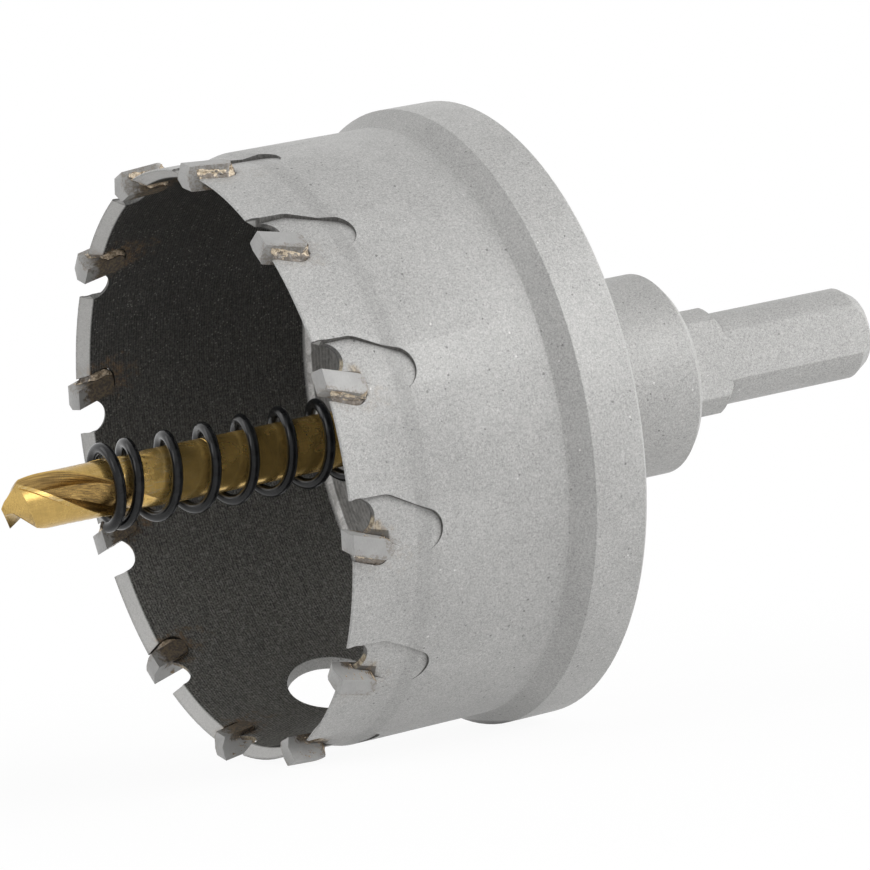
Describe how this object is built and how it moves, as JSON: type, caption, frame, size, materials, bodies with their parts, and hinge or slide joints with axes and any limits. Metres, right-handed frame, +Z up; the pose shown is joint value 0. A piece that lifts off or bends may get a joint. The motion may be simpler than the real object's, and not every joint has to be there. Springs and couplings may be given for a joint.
{
  "type": "hole saw",
  "caption": "Carbide-tipped hole saw: flanged steel cup, hub with three-flat shank, gold-coated pilot drill and ejector spring.",
  "frame": {"origin": "on the surface that the saw rests on, under the middle of its length", "axes": "+X along the tool towards the shank, which leans up by 3.6 degrees; +Z up"},
  "size_m": [0.1047, 0.0668, 0.0671],
  "materials": {
    "blasted_steel": "fine sand-blasted steel, light grey and matt; the bore is dark and finely turned",
    "carbide": "smooth ground carbide",
    "brazing_alloy": "rough, grainy brass-coloured braze",
    "gold_coating": "polished gold-coloured nitride coating on steel",
    "black_steel": "dark, glossy tempered spring steel"
  },
  "bodies": {
    "saw": {"cup": "blasted_steel", "arbor": "blasted_steel", "pilot_drill": "gold_coating", "grub_screw": "black_steel", "carbide_tip_01": "carbide", "carbide_tip_02": "carbide", "carbide_tip_03": "carbide", "carbide_tip_04": "carbide", "carbide_tip_05": "carbide", "carbide_tip_06": "carbide", "carbide_tip_07": "carbide", "carbide_tip_08": "carbide", "carbide_tip_09": "carbide", "carbide_tip_10": "carbide", "carbide_tip_11": "carbide", "carbide_tip_12": "carbide", "braze_01": "brazing_alloy", "braze_02": "brazing_alloy", "braze_03": "brazing_alloy", "braze_04": "brazing_alloy", "braze_05": "brazing_alloy", "braze_06": "brazing_alloy", "braze_07": "brazing_alloy", "braze_08": "brazing_alloy", "braze_09": "brazing_alloy", "braze_10": "brazing_alloy", "braze_11": "brazing_alloy", "braze_12": "brazing_alloy"},
    "spring": {"ejector_spring": "black_steel"}
  },
  "joints": [
    {"name": "ejector_spring_squeeze", "type": "slide", "parent": "saw", "child": "spring", "axis": [0.9981, 0, 0.0622], "range_m": [0, 0.024], "stiffness_N_per_m": 4300, "deforming": ["ejector_spring"]}
  ]
}
